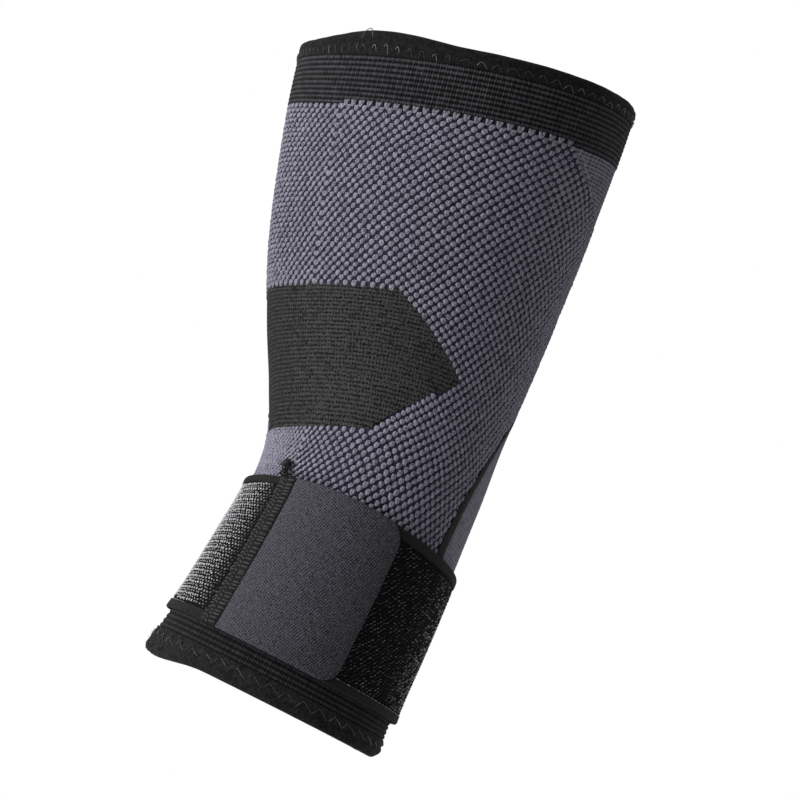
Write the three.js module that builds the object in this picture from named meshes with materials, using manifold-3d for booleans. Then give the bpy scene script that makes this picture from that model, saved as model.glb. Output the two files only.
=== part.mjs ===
// Elbow support sleeve: a knitted compression tube in the form it has on a slightly bent arm,
// with ribbed cuffs, rolled hems, a fine-knit patch in the crook, a smooth panel over the elbow
// and a forearm strap that closes on itself with a hook tab.
// Millimetres. +Z runs up the upper arm and the origin is where the axes of upper arm and
// forearm cross. The forearm leans to -X. Angles round the arm start at the front (-Y) and
// grow towards +X.

import * as THREE from "three";
import { mergeVertices } from "three/addons/utils/BufferGeometryUtils.js";
import Module from "manifold-3d";

const wasm = await Module();
wasm.setup();

const rad = THREE.MathUtils.degToRad;

// Arm axis: a straight upper arm, an arc at the elbow and a straight forearm
const ELBOW_BEND = rad(10.7);
const BEND_LENGTH = 60;

// Heights along the arm axis, from the elbow, upper arm positive
const TOP_EDGE = 104;
const UPPER_HEM_HEIGHT = 6.3;
const UPPER_CUFF_LOW = 83;
const PATCH_HIGH = 17.3;
const PATCH_LOW = -32.5;
const STRAP_HIGH = -53.5;
const STRAP_WIDTH = 50;
const LOWER_CUFF_HIGH = -96;
const LOWER_HEM_HEIGHT = 7.3;
const BOTTOM_EDGE = -117.3;

// Walls and clearances
const GAP = 0.3;
const KNIT_WALL = 2;
const RIB_PITCH = 2;
const RIB_DEPTH = 0.6;
const HEM_INSIDE = 2.4;
const HEM_PROUD = 0.3;
const HEM_ROUNDING = 1.1;
const STRAP_THICKNESS = 1.6;
const BINDING_THICKNESS = 1.8;
const BINDING_WIDTH = 3.4;
const TAB_THICKNESS = 1.6;
const SEAM_THICKNESS = 2;

// Fine-knit patch in the crook, a hexagon with level top and bottom edges
const PATCH_CENTRE = rad(-45);
const PATCH_EDGE_HALF = rad(40.5);
const PATCH_APEX_HALF = rad(76);

// Smooth panel over the point of the elbow, opposite the patch: straight sides below the strap's
// upper edge and an arch above it
const PANEL_CENTRE = rad(138);
const PANEL_HALF = rad(79);
const PANEL_ARCH_HEIGHT = 58;
const PANEL_ARCH_STOP = rad(84);
const PANEL_LOW = -72;
const PANEL_BORDER = 2.2;

// Hook tab on the strap: its stitched band lies at the left, its free end is round-cornered
const SEAM_LEFT = rad(-41.5);
const SEAM_RIGHT = rad(-32.8);
const TAB_RIGHT = rad(25.5);
const TAB_CORNER = 5;

// Facets round the tubes, and rows of facets along the body
const FACETS = 40;
const BODY_ROWS = 16;
const LINING_ROWS = 6;
const STRAP_ROWS = 3;
const PATCH_GRID = [16, 8];
const PANEL_GRID = [16, 10];
const TAB_GRID = [12, 8];
const SEAM_GRID = [2, 8];

// Outer surface of the sleeve, a row for each 20 mm along the arm: half width (X) and half depth (Y),
// sideways shift of the section, and how far its course rises at the front, at the +X side and, close
// to it only, at the -X side
const SECTION_STEP = 20;
const SECTIONS = [
  { along: 125, halfWidth: 57.6, halfDepth: 54.0, shift: 0.8, frontRise: 0.5, sideRise: 2.2, leftRise: 1.7 },
  { along: 105, halfWidth: 57.8, halfDepth: 54.0, shift: 0.2, frontRise: -0.3, sideRise: 2.2, leftRise: 1.7 },
  { along: 85, halfWidth: 56.8, halfDepth: 53.5, shift: -0.8, frontRise: -3.0, sideRise: 2.6, leftRise: 2.0 },
  { along: 65, halfWidth: 54.8, halfDepth: 52.0, shift: -1.6, frontRise: -1.0, sideRise: 2.5, leftRise: 2.0 },
  { along: 45, halfWidth: 52.4, halfDepth: 50.0, shift: -2.2, frontRise: 0.8, sideRise: 2.8, leftRise: 2.2 },
  { along: 25, halfWidth: 49.2, halfDepth: 47.5, shift: -2.4, frontRise: 3.0, sideRise: 3.4, leftRise: 2.8 },
  { along: 5, halfWidth: 45.2, halfDepth: 44.5, shift: -1.6, frontRise: 6.0, sideRise: 4.2, leftRise: 3.0 },
  { along: -15, halfWidth: 40.6, halfDepth: 41.5, shift: 0.8, frontRise: 8.0, sideRise: 4.6, leftRise: 3.0 },
  { along: -35, halfWidth: 37.5, halfDepth: 39.0, shift: 4.2, frontRise: 8.2, sideRise: 3.8, leftRise: 3.0 },
  { along: -55, halfWidth: 37.2, halfDepth: 38.0, shift: 5.0, frontRise: 4.5, sideRise: -1.5, leftRise: 0.8 },
  { along: -75, halfWidth: 38.4, halfDepth: 38.0, shift: 4.0, frontRise: 1.8, sideRise: -4.0, leftRise: 0.0 },
  { along: -95, halfWidth: 39.8, halfDepth: 38.0, shift: 2.4, frontRise: 0.0, sideRise: -3.2, leftRise: 0.0 },
  { along: -115, halfWidth: 42.2, halfDepth: 38.5, shift: 0.6, frontRise: -1.0, sideRise: -2.4, leftRise: 0.0 },
  { along: -135, halfWidth: 43.0, halfDepth: 38.5, shift: 0.0, frontRise: -1.0, sideRise: -2.0, leftRise: 0.0 },
];

// Waves of the hems' free edges, a row for each: where round the arm, half its width, and its rise
const UPPER_WAVES = [
  { angle: rad(-33), halfWidth: rad(34), rise: 2.4 },
];
const LOWER_WAVES = [
  { angle: rad(-62), halfWidth: rad(34), rise: -2.0 },
  { angle: rad(98), halfWidth: rad(26), rise: 3.4 },
  { angle: rad(180), halfWidth: rad(80), rise: 3.0 },
];

const sectionCurve = (columns) =>
  new THREE.CatmullRomCurve3(SECTIONS.map((row) => new THREE.Vector3(...columns.map((name) => row[name]))),
    false, "catmullrom", 0.5);
const bodyCurve = sectionCurve(["halfWidth", "halfDepth", "shift"]);
const riseCurve = sectionCurve(["frontRise", "sideRise", "leftRise"]);

// Centre of the arm and the lean of its axis at a height along it
function armAxis(along) {
  const half = BEND_LENGTH / 2;
  const radius = BEND_LENGTH / ELBOW_BEND;
  const lean = ELBOW_BEND * THREE.MathUtils.clamp((half - along) / BEND_LENGTH, 0, 1);
  const above = Math.max(0, along - half);
  const below = Math.max(0, -half - along);
  const x = -radius * (1 - Math.cos(lean)) - below * Math.sin(ELBOW_BEND);
  const z = radius * Math.tan(ELBOW_BEND / 2) + above - radius * Math.sin(lean) - below * Math.cos(ELBOW_BEND);
  return { x, z, lean };
}

// Point of the worn sleeve: height along the arm, angle round it, distance out from the knit's face
function onArm(along, angle, out) {
  const t = (SECTIONS[0].along - along) / (SECTION_STEP * (SECTIONS.length - 1));
  const body = bodyCurve.getPoint(t);
  const rises = riseCurve.getPoint(t);
  const axis = armAxis(along);
  const normal = new THREE.Vector2(Math.sin(angle) / body.x, Math.cos(angle) / body.y).normalize();
  const across = body.z + body.x * Math.sin(angle) + out * normal.x;
  const rise = rises.x * Math.cos(angle) + rises.y * Math.sin(angle) + rises.z * Math.max(0, -Math.sin(angle)) ** 8;
  return new THREE.Vector3(
    axis.x + across * Math.cos(axis.lean) + rise * Math.sin(axis.lean),
    -(body.y * Math.cos(angle) + out * normal.y),
    axis.z - across * Math.sin(axis.lean) + rise * Math.cos(axis.lean));
}

// Moves every corner of a plain geometry to its place on the arm and leaves only shared corners
function wrap(geometry, toArm) {
  const corners = geometry.attributes.position;
  const corner = new THREE.Vector3();
  for (let i = 0; i < corners.count; i += 1) {
    corner.fromBufferAttribute(corners, i);
    const place = toArm(corner);
    corners.setXYZ(i, place.x, place.y, place.z);
  }
  geometry.deleteAttribute("normal");
  geometry.deleteAttribute("uv");
  return mergeVertices(geometry, 1e-3);
}

// A ring right round the arm, from a closed profile of (out, along) points
const TUBE_RADIUS = 50;
function ring(profile, wave = () => 0) {
  const points = [...profile, profile[0]].map((p) => new THREE.Vector2(TUBE_RADIUS + p.x, p.y));
  return wrap(new THREE.LatheGeometry(points, FACETS), (corner) => {
    const angle = Math.atan2(corner.x, corner.z);
    return onArm(corner.y + wave(angle, corner.y), angle, Math.hypot(corner.x, corner.z) - TUBE_RADIUS);
  });
}

// A plate that lies on the arm, row by row: edges(v) gives height and left and right angle at v from 0 to 1
function plate(edges, inside, outside, [columns, rows]) {
  return wrap(new THREE.BoxGeometry(1, 1, 1, columns, rows, 1), (corner) => {
    const row = edges(corner.y + 0.5);
    const angle = THREE.MathUtils.lerp(row.left, row.right, corner.x + 0.5);
    return onArm(row.along, angle, THREE.MathUtils.lerp(inside, outside, corner.z + 0.5));
  });
}

function solidOf(geometry) {
  return new wasm.Manifold(new wasm.Mesh({
    numProp: 3,
    vertProperties: new Float32Array(geometry.attributes.position.array),
    triVerts: new Uint32Array(geometry.index.array),
  }));
}

function geometryOf(solid) {
  const mesh = solid.getMesh();
  const geometry = new THREE.BufferGeometry();
  geometry.setAttribute("position", new THREE.BufferAttribute(mesh.vertProperties, 3));
  geometry.setIndex(new THREE.BufferAttribute(mesh.triVerts, 1));
  return geometry;
}

const range = (count) => Array.from({ length: count + 1 }, (_, i) => i / count);
const at = (out, along) => new THREE.Vector2(out, along);
const between = THREE.MathUtils.lerp;

// Angle that a length takes up round the arm
function angleOf(length, along) {
  const t = (SECTIONS[0].along - along) / (SECTION_STEP * (SECTIONS.length - 1));
  return length / bodyCurve.getPoint(t).x;
}

// Hexagon of the patch, grown all round by a margin
function patchEdges(margin) {
  const low = PATCH_LOW - margin;
  const high = PATCH_HIGH + margin;
  return (v) => {
    const along = between(low, high, v);
    const nearness = 1 - Math.abs(2 * v - 1);
    const half = between(PATCH_EDGE_HALF, PATCH_APEX_HALF, nearness) + 1.4 * angleOf(margin, along);
    return { along, left: PATCH_CENTRE - half, right: PATCH_CENTRE + half };
  };
}

// Arched outline of the elbow panel, grown all round by a margin
const PANEL_STRAIGHT = 0.2;
function panelEdges(margin) {
  const low = PANEL_LOW - margin;
  return (v) => {
    const turn = PANEL_ARCH_STOP * Math.max(0, (v - PANEL_STRAIGHT) / (1 - PANEL_STRAIGHT));
    const rise = (PANEL_ARCH_HEIGHT + margin) * Math.sin(turn);
    const along = v < PANEL_STRAIGHT ? between(low, STRAP_HIGH, v / PANEL_STRAIGHT) : STRAP_HIGH + rise;
    const half = (PANEL_HALF + angleOf(margin, along)) * Math.cos(turn);
    return { along, left: PANEL_CENTRE - half, right: PANEL_CENTRE + half };
  };
}

// Cuff wall with rounded ribs: a crest and a groove for each pitch
function cuff(low, high) {
  const ribs = Math.round((high - low) / RIB_PITCH);
  const face = range(2 * ribs).map((v, i) => at(i % 2 ? 0 : -RIB_DEPTH, between(low, high, v)));
  const lining = [at(-KNIT_WALL, high), at(-KNIT_WALL, low)];
  return [...face, ...lining];
}

// Section between two depths and two heights, its outer corners rounded
function roundedBand(inside, outside, low, high, corner) {
  const shape = new THREE.Shape();
  shape.moveTo(inside, low);
  shape.absarc(outside - corner, low + corner, corner, -Math.PI / 2, 0);
  shape.absarc(outside - corner, high - corner, corner, 0, Math.PI / 2);
  shape.lineTo(inside, high);
  return shape.getPoints(1);
}

// Rise of a hem's free edge: the waves fade out towards the hem's seam
function hemWave(waves, seam, edge) {
  return (angle, along) => {
    const share = THREE.MathUtils.clamp((along - seam) / (edge - seam), 0, 1);
    let rise = 0;
    for (const wave of waves) {
      const away = Math.abs(Math.atan2(Math.sin(angle - wave.angle), Math.cos(angle - wave.angle)));
      rise += wave.rise * (0.5 + 0.5 * Math.cos(Math.PI * Math.min(1, away / wave.halfWidth)));
    }
    return rise * share;
  };
}

// Main tube: rows of facets on the face and fewer inside, with windows for patch and panel
function knitSleeve() {
  const low = LOWER_CUFF_HIGH + GAP / 2;
  const high = UPPER_CUFF_LOW - GAP / 2;
  const face = range(BODY_ROWS).map((v) => at(0, between(low, high, v)));
  const lining = range(LINING_ROWS).map((v) => at(-KNIT_WALL, between(high, low, v)));
  const tube = solidOf(ring([...face, ...lining]));
  const through = 2 * KNIT_WALL;
  const patchWindow = solidOf(plate(patchEdges(GAP), -through, through, PATCH_GRID));
  const panelWindow = solidOf(plate(panelEdges(PANEL_BORDER + GAP), -through, through, PANEL_GRID));
  return geometryOf(tube.subtract(patchWindow).subtract(panelWindow));
}

// Border of the elbow panel: the strip between two outlines of the same arch
function panelBorder() {
  const outer = solidOf(plate(panelEdges(PANEL_BORDER), -KNIT_WALL, 0, PANEL_GRID));
  const inner = solidOf(plate(panelEdges(GAP), -2 * KNIT_WALL, KNIT_WALL, PANEL_GRID));
  return geometryOf(outer.subtract(inner));
}

// Strap, its bound edges and the tab with its stitched band
const STRAP_LOW = STRAP_HIGH - STRAP_WIDTH;
const STRAP_INSIDE = GAP;
const TAB_INSIDE = STRAP_INSIDE + BINDING_THICKNESS + GAP;

function forearmStrap() {
  const low = STRAP_LOW + BINDING_WIDTH + GAP;
  const high = STRAP_HIGH - BINDING_WIDTH - GAP;
  const face = range(STRAP_ROWS).map((v) => at(STRAP_INSIDE + STRAP_THICKNESS, between(low, high, v)));
  const back = range(STRAP_ROWS).map((v) => at(STRAP_INSIDE, between(high, low, v)));
  return ring([...face, ...back]);
}

function strapBinding(low) {
  const outside = STRAP_INSIDE + BINDING_THICKNESS;
  return ring(roundedBand(STRAP_INSIDE, outside, low, low + BINDING_WIDTH, BINDING_THICKNESS / 2));
}

// Free end of the tab: the right edge draws in along a quarter circle at both corners, where the rows
// lie closest
function tabEdges(v) {
  const height = STRAP_WIDTH * (v - 0.14 * Math.sin(2 * Math.PI * v));
  const along = STRAP_LOW + height;
  const corner = Math.max(0, TAB_CORNER - Math.min(height, STRAP_WIDTH - height));
  const drawn = TAB_CORNER - Math.sqrt(TAB_CORNER ** 2 - corner ** 2);
  return { along, left: SEAM_RIGHT + angleOf(GAP, along), right: TAB_RIGHT - angleOf(drawn, along) };
}

const seamEdges = (v) => ({ along: between(STRAP_LOW, STRAP_HIGH, v), left: SEAM_LEFT, right: SEAM_RIGHT });

const BEAD_GREY = { color: 0x6f6d7c, roughness: 0.9, metalness: 0 };
const KNIT_BLACK = { color: 0x242426, roughness: 0.92, metalness: 0 };
const PANEL_GREY = { color: 0x565563, roughness: 0.9, metalness: 0 };
const PILE_BLACK = { color: 0x1c1c1d, roughness: 0.95, metalness: 0 };
const BINDING_BLACK = { color: 0x2c2c2d, roughness: 0.85, metalness: 0 };
const TAB_CHARCOAL = { color: 0x35343c, roughness: 0.8, metalness: 0 };

function piece(name, geometry, look) {
  const mesh = new THREE.Mesh(geometry, new THREE.MeshStandardMaterial(look));
  mesh.name = name;
  return mesh;
}

const upperHemLow = TOP_EDGE - UPPER_HEM_HEIGHT;
const lowerHemHigh = BOTTOM_EDGE + LOWER_HEM_HEIGHT;
const upperHem = roundedBand(-HEM_INSIDE, HEM_PROUD, upperHemLow, TOP_EDGE, HEM_ROUNDING);
const lowerHem = roundedBand(-HEM_INSIDE, HEM_PROUD, BOTTOM_EDGE, lowerHemHigh, HEM_ROUNDING);
const tabOutside = TAB_INSIDE + TAB_THICKNESS;
const seamOutside = TAB_INSIDE + SEAM_THICKNESS;

const sleeve = new THREE.Group();
sleeve.add(
  piece("knit_sleeve", knitSleeve(), BEAD_GREY),
  piece("crook_patch", plate(patchEdges(0), -KNIT_WALL, 0, PATCH_GRID), KNIT_BLACK),
  piece("elbow_panel", plate(panelEdges(0), -KNIT_WALL, 0, PANEL_GRID), PANEL_GREY),
  piece("panel_border", panelBorder(), KNIT_BLACK),
  piece("upper_cuff", ring(cuff(UPPER_CUFF_LOW + GAP / 2, upperHemLow - GAP)), KNIT_BLACK),
  piece("upper_hem", ring(upperHem, hemWave(UPPER_WAVES, upperHemLow, TOP_EDGE)), KNIT_BLACK),
  piece("lower_cuff", ring(cuff(lowerHemHigh + GAP, LOWER_CUFF_HIGH - GAP / 2)), KNIT_BLACK),
  piece("lower_hem", ring(lowerHem, hemWave(LOWER_WAVES, lowerHemHigh, BOTTOM_EDGE)), KNIT_BLACK),
  piece("forearm_strap", forearmStrap(), PILE_BLACK),
  piece("strap_binding_upper", strapBinding(STRAP_HIGH - BINDING_WIDTH), BINDING_BLACK),
  piece("strap_binding_lower", strapBinding(STRAP_LOW), BINDING_BLACK),
  piece("hook_tab", plate(tabEdges, TAB_INSIDE, tabOutside, TAB_GRID), TAB_CHARCOAL),
  piece("tab_seam", plate(seamEdges, TAB_INSIDE, seamOutside, SEAM_GRID), BINDING_BLACK),
);

export default sleeve;
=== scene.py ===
# Elbow support sleeve: a knitted compression tube in its worn form, slightly bent at the elbow, with
# ribbed cuffs, rolled hems, a fine knit patch in the crook, a smooth elbow panel and a forearm strap.
import math

import bpy
import numpy as np
from mathutils import Matrix


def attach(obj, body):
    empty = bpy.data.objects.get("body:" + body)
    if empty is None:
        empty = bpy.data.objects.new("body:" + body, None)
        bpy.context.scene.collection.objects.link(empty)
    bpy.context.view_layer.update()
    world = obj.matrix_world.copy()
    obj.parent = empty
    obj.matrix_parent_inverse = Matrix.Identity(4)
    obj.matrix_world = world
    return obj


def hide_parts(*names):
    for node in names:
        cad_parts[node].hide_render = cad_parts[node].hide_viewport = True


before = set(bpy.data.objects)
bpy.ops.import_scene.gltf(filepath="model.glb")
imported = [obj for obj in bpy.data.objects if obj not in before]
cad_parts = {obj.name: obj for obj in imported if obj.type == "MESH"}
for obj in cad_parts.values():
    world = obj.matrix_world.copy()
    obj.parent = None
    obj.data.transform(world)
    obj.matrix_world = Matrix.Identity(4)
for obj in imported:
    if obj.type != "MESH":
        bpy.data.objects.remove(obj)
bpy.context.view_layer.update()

# Inner knit: the dark elastic tube that carries the raised stitches. It is knitted in the round,
# shows between the stitches and lines the whole inside. The other pieces follow its worn form.
MM = 0.001
FORM_TOP, FORM_STEP = 125, 20
FORM = np.array([
    # half width, half depth, shift, and how far a course rises at the front, outer and inner side
    (57.6, 54.0, 0.8, 0.5, 2.2, 1.7),
    (57.8, 54.0, 0.2, -0.3, 2.2, 1.7),
    (56.8, 53.5, -0.8, -3.0, 2.6, 2.0),
    (54.8, 52.0, -1.6, -1.0, 2.5, 2.0),
    (52.4, 50.0, -2.2, 0.8, 2.8, 2.2),
    (49.2, 47.5, -2.4, 3.0, 3.4, 2.8),
    (45.2, 44.5, -1.6, 6.0, 4.2, 3.0),
    (40.6, 41.5, 0.8, 8.0, 4.6, 3.0),
    (37.5, 39.0, 4.2, 8.2, 3.8, 3.0),
    (37.2, 38.0, 5.0, 4.5, -1.5, 0.8),
    (38.4, 38.0, 4.0, 1.8, -4.0, 0.0),
    (39.8, 38.0, 2.4, 0.0, -3.2, 0.0),
    (42.2, 38.5, 0.6, -1.0, -2.4, 0.0),
    (43.0, 38.5, 0.0, -1.0, -2.0, 0.0),
])
ELBOW_BEND = math.radians(10.7)
BEND_LENGTH = 60


def form_at(along):
    """Row of the form at a height along the sleeve, in mm from the elbow."""
    t = np.clip((FORM_TOP - along) / FORM_STEP, 0, len(FORM) - 1.0001)
    i = np.floor(t).astype(int)
    w = (t - i)[..., None]
    rows = np.vstack([2 * FORM[0] - FORM[1], FORM, 2 * FORM[-1] - FORM[-2]])
    before, here, after, beyond = (rows[i + k] for k in range(4))
    leave, arrive = (after - before) / 2, (beyond - here) / 2
    bow = 3 * (after - here) - 2 * leave - arrive
    twist = 2 * (here - after) + leave + arrive
    return here + leave * w + bow * w ** 2 + twist * w ** 3


def on_sleeve(along, angle, out):
    """Points of the worn sleeve: mm along it, angle round it from the front, mm out from its face."""
    along, angle, out = np.broadcast_arrays(*(np.asarray(v, float) for v in (along, angle, out)))
    width, depth, shift, front, outer, inner = np.moveaxis(form_at(along), -1, 0)
    half, radius = BEND_LENGTH / 2, BEND_LENGTH / ELBOW_BEND
    lean = ELBOW_BEND * np.clip((half - along) / BEND_LENGTH, 0, 1)
    above, below = np.maximum(0, along - half), np.maximum(0, -half - along)
    x = -radius * (1 - np.cos(lean)) - below * math.sin(ELBOW_BEND)
    z = radius * (math.tan(ELBOW_BEND / 2) - np.sin(lean)) + above - below * math.cos(ELBOW_BEND)
    nx, ny = np.sin(angle) / width, np.cos(angle) / depth
    size = np.hypot(nx, ny)
    across = shift + width * np.sin(angle) + out * nx / size
    rise = front * np.cos(angle) + outer * np.sin(angle) + inner * np.maximum(0, -np.sin(angle)) ** 8
    return MM * np.stack([
        x + across * np.cos(lean) + rise * np.sin(lean),
        -(depth * np.cos(angle) + out * ny / size),
        z - across * np.sin(lean) + rise * np.cos(lean),
    ], -1)


def grid(name, columns, rows):
    """A flat grid of cloth, and how far across and up each of its corners lies, from 0 to 1."""
    bpy.ops.object.select_all(action="DESELECT")
    bpy.ops.mesh.primitive_grid_add(x_subdivisions=columns, y_subdivisions=rows, size=1)
    piece = bpy.context.object
    piece.name = piece.data.name = name
    corners = np.empty(3 * len(piece.data.vertices))
    piece.data.vertices.foreach_get("co", corners)
    return piece, corners[0::3] + 0.5, corners[1::3] + 0.5


def mark(piece, name, values):
    """Keeps a number, or three, at each corner of a piece for its finish to read."""
    kind, field = ("FLOAT_VECTOR", "vector") if values.ndim == 2 else ("FLOAT", "value")
    layer = piece.data.attributes.new(name, kind, "POINT")
    layer.data.foreach_set(field, values.astype(np.float32).ravel())


def settle(piece, along, angle, out, across, depth):
    """Puts a flat grid on the sleeve's form and closes its seams."""
    piece.data.vertices.foreach_set("co", on_sleeve(along, angle, out).ravel())
    mark(piece, "cloth", np.stack([across, along, out], -1))
    mark(piece, "depth", depth)
    bpy.ops.object.mode_set(mode="EDIT")
    bpy.ops.mesh.select_all(action="SELECT")
    bpy.ops.mesh.remove_doubles(threshold=1e-6)
    bpy.ops.mesh.select_all(action="SELECT")
    bpy.ops.mesh.fill_holes(sides=0)
    bpy.ops.object.mode_set(mode="OBJECT")
    bpy.ops.object.shade_smooth()


def plain(angle, along):
    """No relief, or no rise."""
    return np.zeros_like(along)


def ring(name, columns, face, lining, relief=plain, rise=plain):
    """A ring of cloth: rows of (out, along) up its face and down its lining, relief cut into the face,
    and rise, which moves its rows along the sleeve."""
    rows = np.array([*face, *lining], float)
    piece, u, v = grid(name, columns, len(rows))
    row = np.rint(v * len(rows)).astype(int) % len(rows)
    angle = 2 * math.pi * (np.rint(u * columns).astype(int) % columns) / columns - math.pi
    out, along = rows[row].T
    depth = np.where(row < len(face), relief(angle, along), 0)
    settle(piece, along + rise(angle, along), angle, out - depth, angle * form_at(along)[:, 0].mean(), depth)
    return piece


def up(low, high, count, out=0.0):
    """Rows of cloth at one depth, from low to high."""
    return [(out, along) for along in np.linspace(low, high, count)]


class Shade:
    """A value in a finish. Sums on it add Math nodes to the finish's tree."""

    def __init__(self, tree, socket=None):
        self.tree, self.socket = tree, socket

    def node(self, kind, settings=None, sockets=None, output=0):
        made = self.tree.nodes.new(kind)
        for name, value in (settings or {}).items():
            setattr(made, name, value)
        for name, value in (sockets or {}).items():
            if isinstance(value, Shade):
                self.tree.links.new(value.socket, made.inputs[name])
            else:
                made.inputs[name].default_value = value
        return Shade(self.tree, made.outputs[output])

    def math(self, operation, first, second=0.0):
        return self.node("ShaderNodeMath", {"operation": operation}, {0: first, 1: second})

    def __add__(self, other):
        return self.math("ADD", self, other)

    def __radd__(self, other):
        return self.math("ADD", other, self)

    def __sub__(self, other):
        return self.math("SUBTRACT", self, other)

    def __rsub__(self, other):
        return self.math("SUBTRACT", other, self)

    def __mul__(self, other):
        return self.math("MULTIPLY", self, other)

    def __rmul__(self, other):
        return self.math("MULTIPLY", other, self)

    def __truediv__(self, other):
        return self.math("DIVIDE", self, other)

    def __pow__(self, other):
        return self.math("POWER", self, other)

    def __abs__(self):
        return self.math("ABSOLUTE", self)

    def wave(self, pitch):
        """From 0 to 1 and back once in each pitch."""
        return self.math("COSINE", self * (2 * math.pi / pitch)) * -0.5 + 0.5

    def clamp(self):
        return self.node("ShaderNodeClamp", sockets={"Value": self})

    def blend(self, low, high):
        """Colour from low, where this is 0, to high, where it is 1."""
        return self.node("ShaderNodeMix", {"data_type": "RGBA"}, {0: self, 6: low, 7: high}, 2)

    def noise(self, scale, detail=2.0):
        place = self.node("ShaderNodeTexCoord", output="Object")
        return self.node("ShaderNodeTexNoise", sockets={"Vector": place, "Scale": scale, "Detail": detail})

    def kept(self, name):
        """A number kept at the piece's corners."""
        return self.node("ShaderNodeAttribute", {"attribute_name": name}, output="Fac")

    def cloth(self, axis):
        """Place on the flat cloth in mm: 0 is across, 1 is along, 2 is out of it."""
        place = self.node("ShaderNodeAttribute", {"attribute_name": "cloth"}, output="Vector")
        return self.node("ShaderNodeSeparateXYZ", sockets={0: place}, output=axis)


def finish(name, roughness, sheen=0.0, gloss=0.15):
    """A new cloth finish: its material, its shader and a first value to build on."""
    material = bpy.data.materials.new(name)
    material.use_nodes = True
    shader = material.node_tree.nodes["Principled BSDF"]
    shader.inputs["Roughness"].default_value = roughness
    shader.inputs["Specular IOR Level"].default_value = gloss
    shader.inputs["Sheen Weight"].default_value = sheen
    return material, shader, Shade(material.node_tree)


def lay(shader, colour, height=None, relief=0.0):
    """Links a finish's colour, and its fine relief in metres, to its shader."""
    tree = colour.tree
    tree.links.new(colour.socket, shader.inputs["Base Color"])
    if height is not None:
        bump = colour.node("ShaderNodeBump", sockets={"Strength": 1.0, "Distance": relief, "Height": height})
        tree.links.new(bump.socket, shader.inputs["Normal"])


def knit_finish(name, crest, groove, wale, depth, lines, speck=0.8, cut=0.8):
    """Plain knit: crests, grooves by the piece's own relief and dark marks between the wales, the grooves and
    marks painted darker as painted shade, and specks.
    """
    material, shader, start = finish(name, 0.95, 0.02, 0.1)
    painted_groove_shade = start.kept("depth") / depth
    uneven = start.noise(420, 3)
    across = start.cloth(0) + uneven * 0.25
    line = (across.wave(wale) * 0.6 + across.wave(2 * wale) * 0.5) ** 2 * lines * (uneven * 1.6 + 0.2)
    fibre = start.noise(1500, 2)
    # Painted shade: the colour goes towards the groove colour with the relief's depth and on the marks between
    # the wales
    low = (painted_groove_shade * cut * 0.75 + line * (painted_groove_shade * 0.9 + 0.55) + (uneven + fibre - 1) * speck).clamp()
    lay(shader, low.blend(crest, groove), fibre * 0.5 - line, 0.0002)
    return material


def dress(piece, material, node=None):
    """Gives a piece its finish, and says what it rides on and the solid that it replaces."""
    piece.data.materials.append(material)
    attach(piece, "root")
    if node:
        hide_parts(node)


GROUND_FACE, GROUND_LINING = -0.75, -2.0
GROUND_LOW, GROUND_HIGH = -95.85, 82.85
inner_knit = ring("inner_knit", 160,
                  up(GROUND_LOW, GROUND_HIGH, 90, GROUND_FACE),
                  up(GROUND_HIGH, GROUND_LOW, 60, GROUND_LINING))
NAVY, NAVY_DEEP = (0.0185, 0.0172, 0.0300, 1), (0.0075, 0.0070, 0.0125, 1)
dress(inner_knit, knit_finish("navy_knit", NAVY, NAVY_DEEP, 1.6, 1.0, 0.6), "knit_sleeve")

# Raised stitches: soft grey loops that stand up from the inner knit in staggered rows, fanning out
# round the crook. The round starts at a column of wider stitches in the middle of the crook.
START = math.radians(-42)
PATCH_CENTRE = math.radians(-45)
PATCH_HIGH, PATCH_LOW = 17.3, -32.5
PATCH_EDGE_HALF, PATCH_APEX_HALF = math.radians(40.5), math.radians(76)
PATCH_WRAP, PATCH_IN, PATCH_DRAWN_UP = 0.14, math.radians(4), 2.3
PANEL_CENTRE = math.radians(138)
PANEL_HALF, PANEL_ARCH_HEIGHT, PANEL_ARCH_STOP = math.radians(79), 58.0, math.radians(84)
PANEL_LOW, PANEL_BORDER, PANEL_STRAIGHT = -72.0, 2.2, 0.2
STRAP_HIGH, STRAP_WIDTH = -53.5, 50.0
GUSSET_TOP, GUSSET_TOP_HALF, GUSSET_DROP = 83.0, math.radians(90.5), 38.0


def angle_of(length, along):
    """Angle round the sleeve that a length in mm takes up at a height."""
    return length / form_at(np.asarray(along, float))[..., 0]


def turned(angle, centre):
    """Angle from a centre line, from minus half a turn to half a turn."""
    return (angle - centre + math.pi) % (2 * math.pi) - math.pi


def ramp(value, start, end):
    """0 up to the start, 1 from the end on, straight between. It runs down where the end is lower."""
    return np.clip((value - start) / (end - start), 0, 1)


def patch_half(along):
    """Half the patch's angle at a height: widest at its middle."""
    near = 1 - np.abs(2 * (along - PATCH_LOW) / (PATCH_HIGH - PATCH_LOW) - 1)
    return PATCH_EDGE_HALF + (PATCH_APEX_HALF - PATCH_EDGE_HALF) * near


def patch_wrap(along):
    """How much farther round the inner side the patch reaches in its upper half."""
    return PATCH_WRAP * ramp(along, -15, 0)


def patch_low(along):
    """Share of the way from the patch's middle down to its lower edge."""
    return ramp(along, -8, -32)


def patch_rise(angle, along):
    """How far the knit is drawn up round the patch's outer lower corner."""
    aside = turned(angle, PATCH_CENTRE)
    near = ramp(aside, -0.09, 0.71) * ramp(aside, 1.6, 0.9)
    return PATCH_DRAWN_UP * near * patch_low(along) * ramp(along, -65, -35)


def panel_half(along):
    """Half the elbow panel's angle at a height: straight below the strap's edge, an arch above."""
    turn = np.arcsin(ramp(along, STRAP_HIGH, STRAP_HIGH + PANEL_ARCH_HEIGHT))
    return PANEL_HALF * np.cos(turn)


def gusset_half(along):
    """Half the gusset's angle at a height: it hangs below the cuff like a rounded V."""
    return GUSSET_TOP_HALF * (1 - ramp(along, GUSSET_TOP, GUSSET_TOP - GUSSET_DROP) ** 1.5)


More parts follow.
